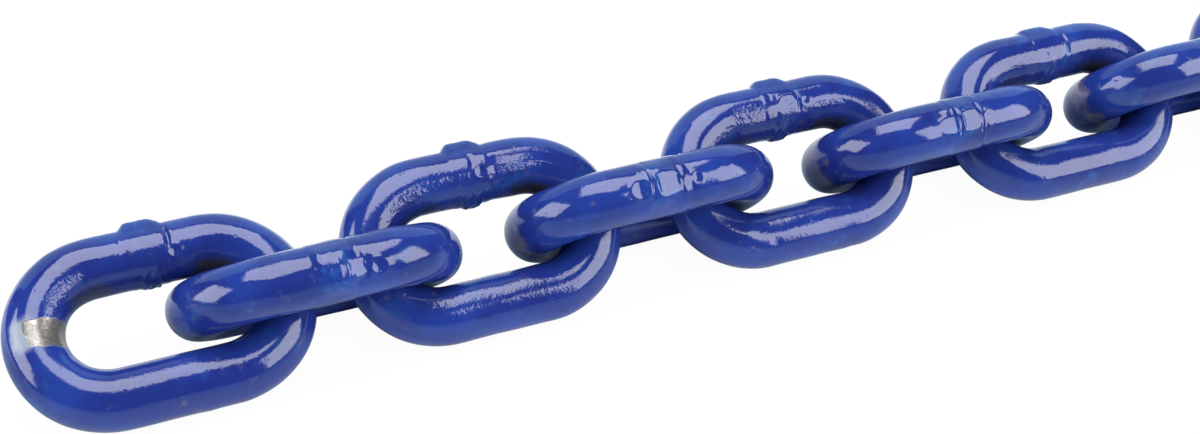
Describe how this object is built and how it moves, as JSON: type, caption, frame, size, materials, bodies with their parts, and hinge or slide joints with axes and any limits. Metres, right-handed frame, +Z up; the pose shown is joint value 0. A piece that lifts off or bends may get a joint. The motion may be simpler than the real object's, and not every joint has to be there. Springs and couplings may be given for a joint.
{
  "type": "short-link lifting chain",
  "caption": "Straight length of short-link steel lifting chain in blue lacquer, round bar links with welded legs, lying taut on the floor.",
  "frame": {"origin": "on the floor, below the middle of the chain", "axes": "+X along the chain from the near end to the far end, +Z up"},
  "size_m": [0.9838, 0.0373, 0.0351],
  "materials": {
    "blue_lacquer": "glossy blue lacquer over steel, worn to grey at the crowns"
  },
  "bodies": {
    "link_01": {"link_01": "blue_lacquer"},
    "link_02": {"link_02": "blue_lacquer"},
    "link_03": {"link_03": "blue_lacquer"},
    "link_04": {"link_04": "blue_lacquer"},
    "link_05": {"link_05": "blue_lacquer"},
    "link_06": {"link_06": "blue_lacquer"},
    "link_07": {"link_07": "blue_lacquer"},
    "link_08": {"link_08": "blue_lacquer"},
    "link_09": {"link_09": "blue_lacquer"},
    "link_10": {"link_10": "blue_lacquer"},
    "link_11": {"link_11": "blue_lacquer"},
    "link_12": {"link_12": "blue_lacquer"},
    "link_13": {"link_13": "blue_lacquer"},
    "link_14": {"link_14": "blue_lacquer"},
    "link_15": {"link_15": "blue_lacquer"},
    "link_16": {"link_16": "blue_lacquer"},
    "link_17": {"link_17": "blue_lacquer"},
    "link_18": {"link_18": "blue_lacquer"},
    "link_19": {"link_19": "blue_lacquer"},
    "link_20": {"link_20": "blue_lacquer"},
    "link_21": {"link_21": "blue_lacquer"},
    "link_22": {"link_22": "blue_lacquer"},
    "link_23": {"link_23": "blue_lacquer"},
    "link_24": {"link_24": "blue_lacquer"},
    "link_25": {"link_25": "blue_lacquer"}
  },
  "joints": [
    {"name": "swing_02", "type": "hinge", "parent": "link_01", "child": "link_02", "pos_m": [-0.43337, -0.00026, 0.01513], "axis": [0, 0.6428, 0.766], "range_deg": [-90, 90]},
    {"name": "swing_03", "type": "hinge", "parent": "link_02", "child": "link_03", "pos_m": [-0.40003, -0.00026, 0.01588], "axis": [0, -0.7193, 0.6947], "range_deg": [-90, 90]},
    {"name": "swing_04", "type": "hinge", "parent": "link_03", "child": "link_04", "pos_m": [-0.36192, -0.00026, 0.01692], "axis": [0, -0.7071, -0.7071], "range_deg": [-90, 90]},
    {"name": "swing_05", "type": "hinge", "parent": "link_04", "child": "link_05", "pos_m": [-0.32334, -0.00026, 0.01671], "axis": [0, 0.7071, -0.7071], "range_deg": [-90, 90]},
    {"name": "swing_06", "type": "hinge", "parent": "link_05", "child": "link_06", "pos_m": [-0.28474, -0.00026, 0.01671], "axis": [0, 0.6691, 0.7431], "range_deg": [-90, 90]},
    {"name": "swing_07", "type": "hinge", "parent": "link_06", "child": "link_07", "pos_m": [-0.24627, -0.00026, 0.01623], "axis": [0, -0.6561, 0.7547], "range_deg": [-90, 90]},
    {"name": "swing_08", "type": "hinge", "parent": "link_07", "child": "link_08", "pos_m": [-0.20775, -0.00026, 0.01606], "axis": [0, -0.7071, -0.7071], "range_deg": [-90, 90]},
    {"name": "swing_09", "type": "hinge", "parent": "link_08", "child": "link_09", "pos_m": [-0.1694, -0.00026, 0.01671], "axis": [0, 0.6561, -0.7547], "range_deg": [-90, 90]},
    {"name": "swing_10", "type": "hinge", "parent": "link_09", "child": "link_10", "pos_m": [-0.13104, -0.00026, 0.01606], "axis": [0, 0.6967, 0.7174], "range_deg": [-90, 90]},
    {"name": "swing_11", "type": "hinge", "parent": "link_10", "child": "link_11", "pos_m": [-0.09265, -0.00026, 0.01658], "axis": [0, -0.7346, 0.6785], "range_deg": [-90, 90]},
    {"name": "swing_12", "type": "hinge", "parent": "link_11", "child": "link_12", "pos_m": [-0.05414, -0.00026, 0.01717], "axis": [0, -0.74, -0.6727], "range_deg": [-90, 90]},
    {"name": "swing_13", "type": "hinge", "parent": "link_12", "child": "link_13", "pos_m": [-0.01554, -0.00026, 0.01727], "axis": [0, 0.7071, -0.7071], "range_deg": [-90, 90]},
    {"name": "swing_14", "type": "hinge", "parent": "link_13", "child": "link_14", "pos_m": [0.02298, -0.00026, 0.01671], "axis": [0, 0.6727, 0.74], "range_deg": [-90, 90]},
    {"name": "swing_15", "type": "hinge", "parent": "link_14", "child": "link_15", "pos_m": [0.06148, -0.00026, 0.01627], "axis": [0, -0.6785, 0.7346], "range_deg": [-90, 90]},
    {"name": "swing_16", "type": "hinge", "parent": "link_15", "child": "link_16", "pos_m": [0.10007, -0.00026, 0.01635], "axis": [0, -0.7174, -0.6967], "range_deg": [-90, 90]},
    {"name": "swing_17", "type": "hinge", "parent": "link_16", "child": "link_17", "pos_m": [0.13855, -0.00026, 0.01688], "axis": [0, 0.7428, -0.6695], "range_deg": [-90, 90]},
    {"name": "swing_18", "type": "hinge", "parent": "link_17", "child": "link_18", "pos_m": [0.17711, -0.00026, 0.01731], "axis": [0, 0.727, 0.6867], "range_deg": [-90, 90]},
    {"name": "swing_19", "type": "hinge", "parent": "link_18", "child": "link_19", "pos_m": [0.2157, -0.00026, 0.01705], "axis": [0, -0.687, 0.7267], "range_deg": [-90, 90]},
    {"name": "swing_20", "type": "hinge", "parent": "link_19", "child": "link_20", "pos_m": [0.25418, -0.00026, 0.01646], "axis": [0, -0.6695, -0.7428], "range_deg": [-90, 90]},
    {"name": "swing_21", "type": "hinge", "parent": "link_20", "child": "link_21", "pos_m": [0.29273, -0.00026, 0.01623], "axis": [0, 0.6964, -0.7177], "range_deg": [-90, 90]},
    {"name": "swing_22", "type": "hinge", "parent": "link_21", "child": "link_22", "pos_m": [0.33124, -0.00026, 0.01657], "axis": [0, 0.7344, 0.6788], "range_deg": [-90, 90]},
    {"name": "swing_23", "type": "hinge", "parent": "link_22", "child": "link_23", "pos_m": [0.36974, -0.00026, 0.01717], "axis": [0, -0.7401, 0.6725], "range_deg": [-90, 90]},
    {"name": "swing_24", "type": "hinge", "parent": "link_23", "child": "link_24", "pos_m": [0.40834, -0.00026, 0.01727], "axis": [0, -0.7074, -0.7068], "range_deg": [-90, 90]},
    {"name": "swing_25", "type": "hinge", "parent": "link_24", "child": "link_25", "pos_m": [0.44687, -0.00026, 0.01671], "axis": [0, 0.6728, -0.7398], "range_deg": [-90, 90]}
  ]
}
